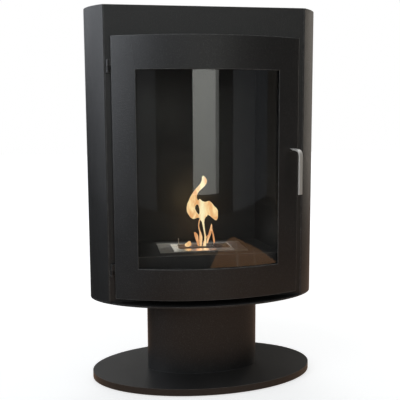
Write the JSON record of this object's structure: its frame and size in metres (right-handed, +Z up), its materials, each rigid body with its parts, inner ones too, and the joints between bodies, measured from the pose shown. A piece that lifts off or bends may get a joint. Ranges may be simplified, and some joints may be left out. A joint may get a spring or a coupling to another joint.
{
  "type": "bioethanol fireplace",
  "caption": "Free-standing bioethanol fireplace: oval steel body on a column and plinth, bowed hinged glass door, burner with a sliding shutter in the hearth.",
  "frame": {"origin": "on the floor, under the middle of the oval body", "axes": "+Z up, -Y out of the flat front and the door, +X to the viewer's right"},
  "size_m": [0.618, 0.36, 0.997],
  "materials": {
    "powder_coat": "satin anthracite powder coat",
    "black_sheet": "matt black heat-resistant paint",
    "stainless": "brushed stainless steel",
    "dull_steel": "dull heat-stained steel",
    "zinc": "zinc-plated steel",
    "black_plastic": "matt black plastic",
    "fibre": "white ceramic fibre",
    "gasket": "dark glass-fibre tape",
    "glass": "clear ceramic glass, dark from the black firebox behind it"
  },
  "bodies": {
    "stove": {"plinth_shell": "powder_coat", "column_tube": "powder_coat", "bottom_plate": "powder_coat", "casing_wrap": "powder_coat", "front_panel": "powder_coat", "top_plate": "powder_coat", "hinge_bracket_lower": "powder_coat", "hinge_bracket_upper": "powder_coat", "plinth_weight": "dull_steel", "column_foot_flange": "dull_steel", "column_head_flange": "dull_steel", "burner_cover_plate": "dull_steel", "glide_front_left": "black_plastic", "glide_front_right": "black_plastic", "glide_back_left": "black_plastic", "glide_back_right": "black_plastic", "magnet_catch": "black_plastic", "column_foot_bolt_1": "zinc", "column_foot_bolt_2": "zinc", "column_foot_bolt_3": "zinc", "column_foot_bolt_4": "zinc", "column_head_bolt_1": "zinc", "column_head_bolt_2": "zinc", "column_head_bolt_3": "zinc", "column_head_bolt_4": "zinc", "firebox_left": "black_sheet", "firebox_right": "black_sheet", "firebox_back": "black_sheet", "heat_baffle": "black_sheet", "hearth_floor": "black_sheet", "floor_support_front": "black_sheet", "floor_support_back": "black_sheet", "hinge_pin_lower": "black_sheet", "hinge_pin_upper": "black_sheet", "burner_top": "stainless", "shutter_rail_front": "stainless", "shutter_rail_back": "stainless", "fuel_tank": "stainless", "fibre_block": "fibre"},
    "door": {"door_skin": "powder_coat", "door_top_plate": "powder_coat", "door_bottom_plate": "powder_coat", "glass_gasket": "gasket", "door_glass": "glass", "glass_clip_lower_left": "zinc", "glass_clip_lower_right": "zinc", "glass_clip_upper_left": "zinc", "glass_clip_upper_right": "zinc", "clip_screw_lower_left": "zinc", "clip_screw_lower_right": "zinc", "clip_screw_upper_left": "zinc", "clip_screw_upper_right": "zinc", "handle": "stainless", "handle_backplate": "zinc", "hinge_eye_lower": "powder_coat", "hinge_eye_upper": "powder_coat", "strike_plate": "zinc"},
    "shutter": {"shutter": "stainless"}
  },
  "joints": [
    {"name": "door_hinge", "type": "hinge", "parent": "stove", "child": "door", "pos_m": [-0.25, -0.101, 0.585], "axis": [0, 0, -1], "range_deg": [0, 110]},
    {"name": "shutter_slide", "type": "slide", "parent": "stove", "child": "shutter", "axis": [1, 0, 0], "range_m": [0, 0.139]}
  ]
}
